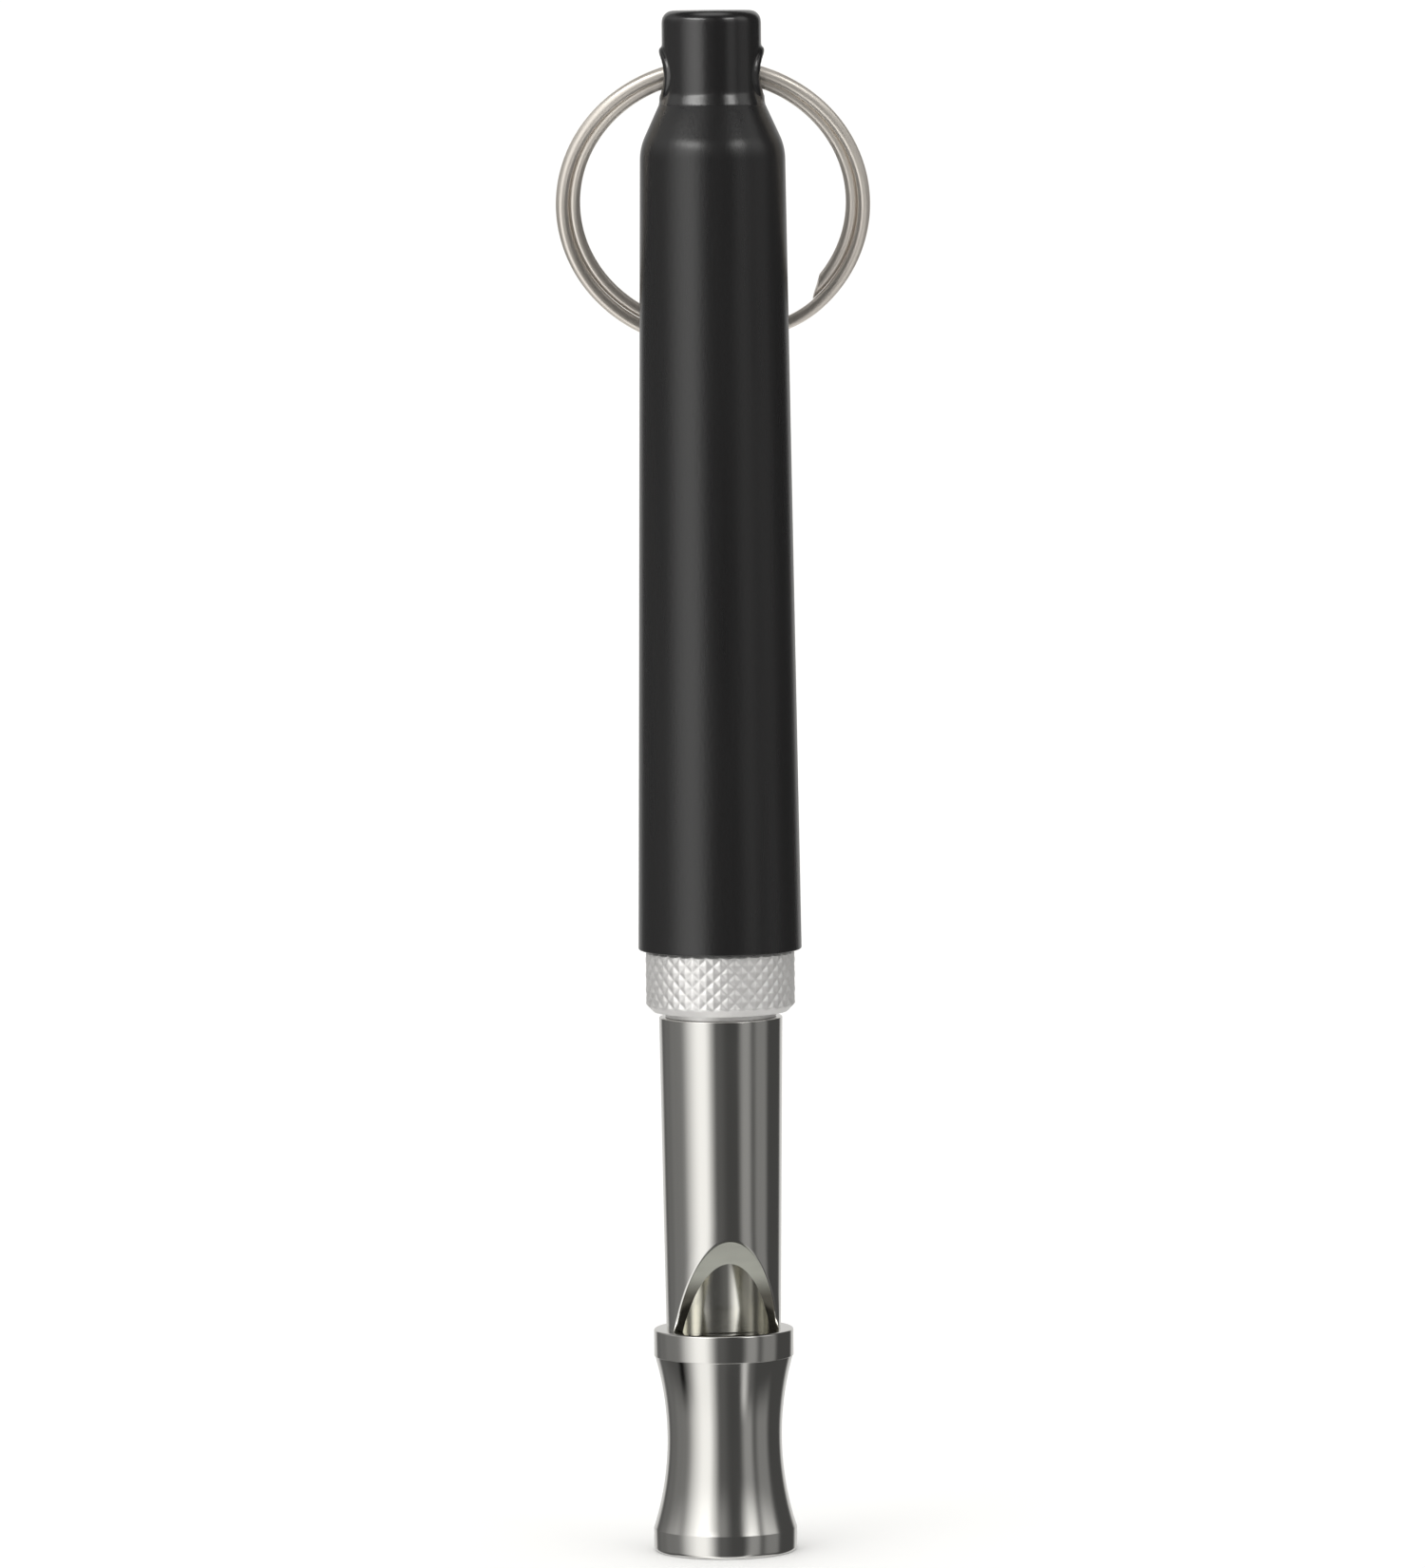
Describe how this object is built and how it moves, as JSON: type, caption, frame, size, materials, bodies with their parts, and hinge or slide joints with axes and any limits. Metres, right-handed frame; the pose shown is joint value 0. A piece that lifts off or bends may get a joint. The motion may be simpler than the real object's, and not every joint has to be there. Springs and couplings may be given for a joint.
{
  "type": "training whistle",
  "caption": "Slim adjustable-pitch dog training whistle: waisted metal mouthpiece, arched sound window, knurled lock nut, tapered black push-on cap and a split key ring.",
  "frame": {"origin": "centre of the blowing bore at the mouthpiece's end face, on the whistle's axis", "axes": "+Z along the whistle's axis from the mouthpiece to the ring end; the split ring's hole runs along X; the sound window faces -Y, turned 7 degrees towards +X"},
  "size_m": [0.0168, 0.0103, 0.082],
  "materials": {
    "bright_nickel": "polished nickel plate on turned brass",
    "knurled_nickel": "diamond-knurled, matte nickel plate",
    "screw_steel": "cut thread, plated",
    "ring_steel": "plated spring wire",
    "brass": "machined",
    "seal_rubber": "matte",
    "black_plastic": "moulded, satin gloss"
  },
  "bodies": {
    "whistle_body": {"mouthpiece": "bright_nickel", "windway_plug": "brass", "whistle_tube": "bright_nickel"},
    "plunger": {"plunger": "brass", "plunger_seal": "seal_rubber"},
    "tuning_screw": {"tuning_screw": "screw_steel"},
    "lock_nut": {"lock_nut": "knurled_nickel"},
    "cap": {"cap": "black_plastic", "ring_hanger": "black_plastic"},
    "split_ring": {"split_ring": "ring_steel"}
  },
  "joints": [
    {"name": "screw_turn", "type": "hinge", "parent": "plunger", "child": "tuning_screw", "pos_m": [0, 0, 0.04], "axis": [0, 0, 1], "range_deg": [-1081, 1441]},
    {"name": "plunger_slide", "type": "slide", "parent": "whistle_body", "child": "plunger", "axis": [0, 0, 1], "range_m": [-0.0021, 0.0028]},
    {"name": "lock_nut_turn", "type": "hinge", "parent": "whistle_body", "child": "lock_nut", "pos_m": [0, 0, 0.03], "axis": [0, 0, 1], "range_deg": [0, 180]},
    {"name": "cap_slide", "type": "slide", "parent": "lock_nut", "child": "cap", "axis": [0, 0, 1], "range_m": [0, 0.03]},
    {"name": "ring_swing", "type": "hinge", "parent": "cap", "child": "split_ring", "pos_m": [0, 0, 0.0786], "axis": [1, 0, 0], "range_deg": [-5, 316]}
  ],
  "couplings": [
    {"joint": "screw_turn", "follows": "plunger_slide", "rad_per_m": 8976}
  ]
}
